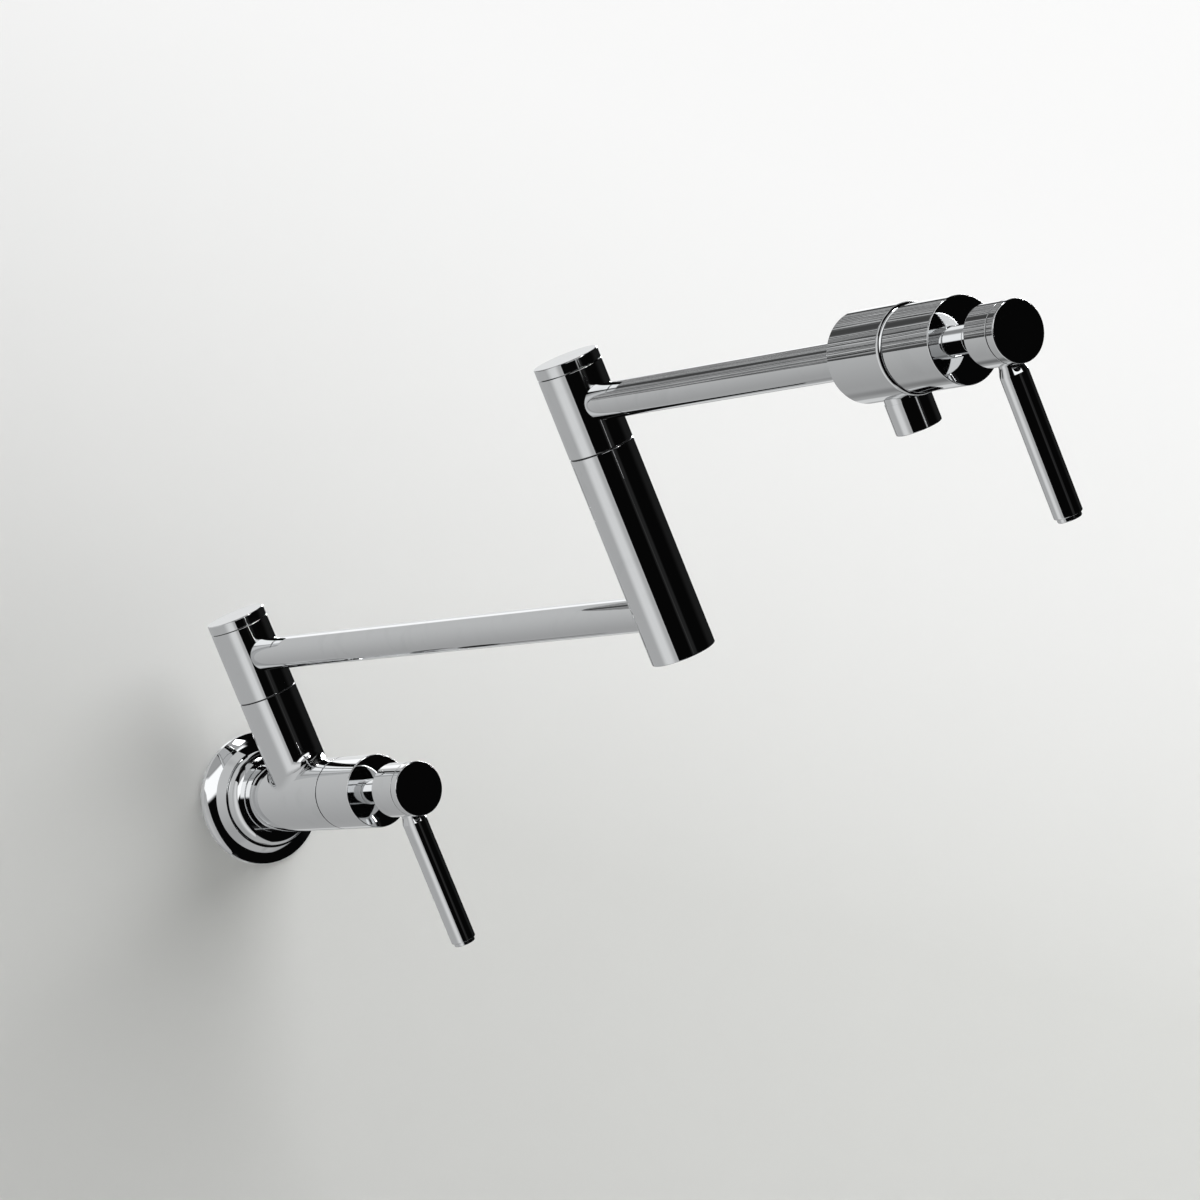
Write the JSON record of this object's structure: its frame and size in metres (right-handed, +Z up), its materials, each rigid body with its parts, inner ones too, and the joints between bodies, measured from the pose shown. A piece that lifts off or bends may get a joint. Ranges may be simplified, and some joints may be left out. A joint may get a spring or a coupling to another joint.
{
  "type": "wall mounted pot filler",
  "caption": "Wall mounted pot filler: a round flange and valve carry a swivel post and folding arms that end in a valve with a lever handle and a short down spout.",
  "frame": {"origin": "on the wall plane, at the centre of the flange and of the inlet's threaded hole", "axes": "+Y into the wall along the inlet, so the arms reach out along -Y at rest; +Z up; +X to the right of someone facing the wall"},
  "size_m": [0.0668, 0.7299, 0.2793],
  "materials": {
    "polished_chrome": "mirror polished plating",
    "bare_brass": "as turned",
    "steel": "plain stainless",
    "ceramic": "lapped alumina",
    "black_rubber": "matte",
    "black_plastic": "matte",
    "white_plastic": "matte"
  },
  "bodies": {
    "wall_mount": {"wall_flange": "polished_chrome", "flange_gasket": "black_rubber", "flange_collar": "polished_chrome", "wall_valve_body": "polished_chrome", "wall_seat_seal": "black_rubber", "wall_fixed_disc": "ceramic", "wall_cartridge_housing": "bare_brass", "wall_cartridge_nut": "bare_brass", "wall_seam_ring": "black_rubber", "wall_bonnet_sleeve": "polished_chrome", "inner_thrust_washer": "black_plastic", "inner_spindle": "bare_brass", "inner_o_rings": "black_rubber", "inner_bolt": "steel"},
    "wall_handle": {"wall_turning_disc": "ceramic", "wall_valve_stem": "bare_brass", "wall_stem_o_rings": "black_rubber", "wall_knob": "polished_chrome", "wall_knob_cap": "polished_chrome", "wall_knob_screw": "steel", "wall_lever": "polished_chrome", "wall_lever_tip": "polished_chrome"},
    "inner_arm": {"inner_head": "polished_chrome", "inner_head_cap": "polished_chrome", "inner_arm_tube": "polished_chrome", "middle_post": "polished_chrome", "outer_thrust_washer": "black_plastic", "outer_spindle": "bare_brass", "outer_o_rings": "black_rubber", "outer_bolt": "steel"},
    "outer_arm": {"outer_head": "polished_chrome", "outer_head_cap": "polished_chrome", "outer_arm_tube": "polished_chrome", "end_valve_body": "polished_chrome", "end_seat_seal": "black_rubber", "end_fixed_disc": "ceramic", "end_cartridge_housing": "bare_brass", "end_cartridge_nut": "bare_brass", "end_seam_ring": "black_rubber", "end_bonnet_sleeve": "polished_chrome", "outlet_spout": "polished_chrome", "aerator_housing": "white_plastic", "aerator_mesh": "white_plastic", "aerator_washer": "black_rubber"},
    "end_handle": {"end_turning_disc": "ceramic", "end_valve_stem": "bare_brass", "end_stem_o_rings": "black_rubber", "end_knob": "polished_chrome", "end_knob_cap": "polished_chrome", "end_knob_screw": "steel", "end_lever": "polished_chrome", "end_lever_tip": "polished_chrome"}
  },
  "joints": [
    {"name": "wall_handle_turn", "type": "hinge", "parent": "wall_mount", "child": "wall_handle", "pos_m": [0, -0.1407, 0], "axis": [0, -1, 0], "range_deg": [0, 90]},
    {"name": "inner_arm_swing", "type": "hinge", "parent": "wall_mount", "child": "inner_arm", "pos_m": [0, -0.0516, 0.0764], "axis": [0, 0, 1], "range_deg": [-90, 90]},
    {"name": "outer_arm_swing", "type": "hinge", "parent": "inner_arm", "child": "outer_arm", "pos_m": [0, -0.4221, 0.1749], "axis": [0, 0, 1], "range_deg": [-180, 180]},
    {"name": "end_handle_turn", "type": "hinge", "parent": "outer_arm", "child": "end_handle", "pos_m": [0, -0.7175, 0.1749], "axis": [0, -1, 0], "range_deg": [0, 90]}
  ]
}
